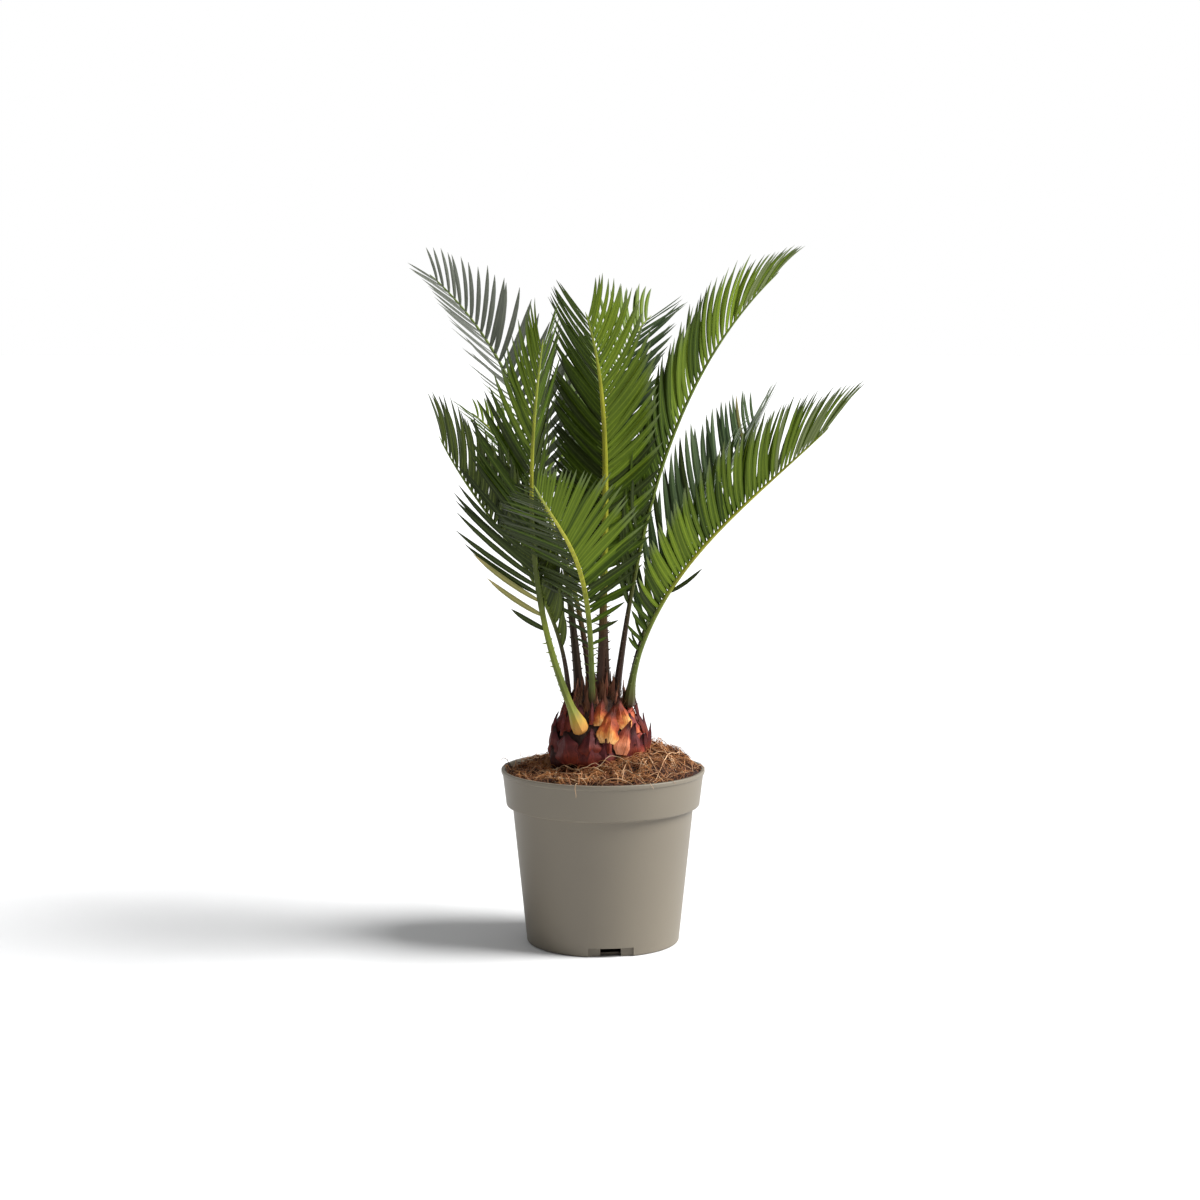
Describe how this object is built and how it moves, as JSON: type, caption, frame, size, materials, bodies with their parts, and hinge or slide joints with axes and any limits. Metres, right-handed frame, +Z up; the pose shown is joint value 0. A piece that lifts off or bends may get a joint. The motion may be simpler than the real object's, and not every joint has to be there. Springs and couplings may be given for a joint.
{
  "type": "potted sago palm",
  "caption": "Young sago palm: a squat scaly trunk with a crown of arching feathery fronds, growing in coarse fibrous mix in a plain tapered nursery pot with a deep collar.",
  "frame": {"origin": "centre of the flat underside of the pot", "axes": "+Z up along the pot's axis and the trunk, -Y to the front, +X to the right seen from the front"},
  "size_m": [0.321, 0.3542, 0.512],
  "materials": {
    "pot": "plain moulded taupe plastic, satin",
    "growing_mix": "loose coir fibre and peat, dull",
    "trunk": "woody leaf bases, maroon to orange, slightly waxy",
    "foliage": "stiff glossy green leaflets on yellow-green ribs"
  },
  "bodies": {
    "root": {"pot": "pot", "growing_mix": "growing_mix", "trunk": "trunk", "frond_far_left": "foliage", "frond_front_left": "foliage", "frond_centre": "foliage", "frond_centre_back": "foliage", "frond_tall_right": "foliage", "frond_low_right": "foliage", "frond_back_right": "foliage", "frond_front": "foliage", "frond_low_left": "foliage", "frond_back_left": "foliage"}
  },
  "joints": []
}
